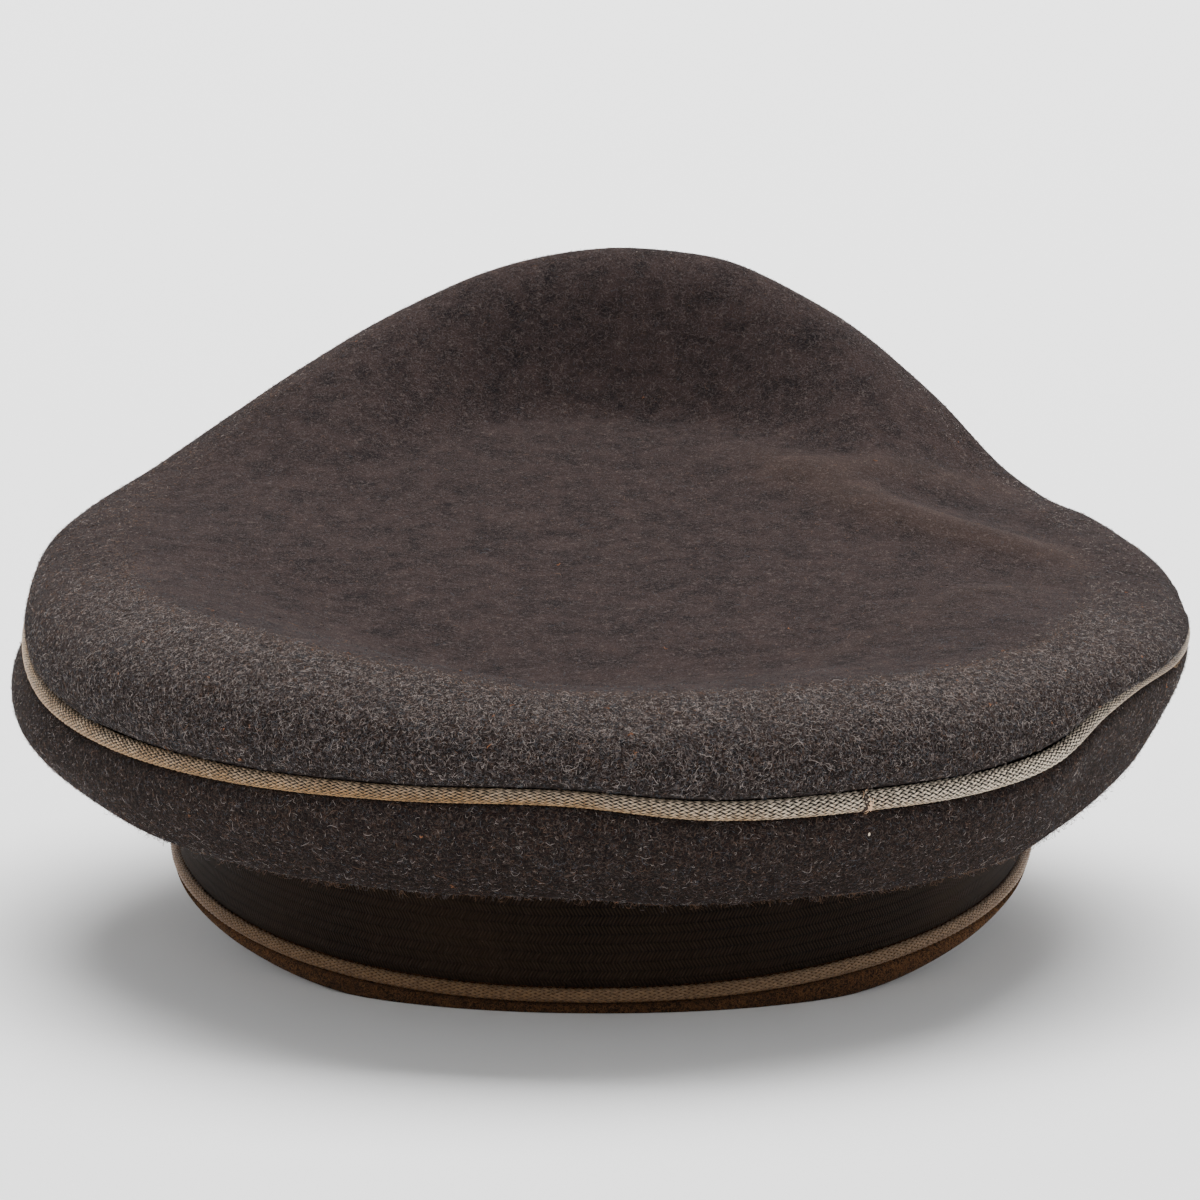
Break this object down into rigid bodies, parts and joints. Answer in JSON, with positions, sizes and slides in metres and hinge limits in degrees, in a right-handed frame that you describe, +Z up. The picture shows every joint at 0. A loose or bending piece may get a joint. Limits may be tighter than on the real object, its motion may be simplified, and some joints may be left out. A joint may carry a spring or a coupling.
{
  "type": "peaked visor cap",
  "caption": "Peaked cap of grey-brown wool felt with a soft saddle-shaped crown, braided metal pipings, a black mohair band and a lacquered peak.",
  "frame": {"origin": "middle of the cap's box at table height, with the cap standing on the back of its band and the rim of its peak", "axes": "+Z up from the table, +Y to the wearer's front where the peak is, +X to the wearer's right"},
  "size_m": [0.2392, 0.2904, 0.13],
  "materials": {
    "crown_wool": "grey-brown melange wool felt with a short nap",
    "side_wool": "grey-brown melange wool felt with a short nap",
    "crown_braid": "plaited metal thread, dulled, tan where it is soiled",
    "hem_wool": "worn brown wool",
    "mohair": "black ribbed mohair braid",
    "lower_braid": "plaited metal thread, dirty",
    "lacquer": "black lacquered fibre, glossy"
  },
  "bodies": {
    "root": {"crown_top": "crown_wool", "side_panel": "side_wool", "crown_piping": "crown_braid", "band_base": "hem_wool", "band": "mohair", "lower_piping": "lower_braid", "peak": "lacquer"}
  },
  "joints": []
}
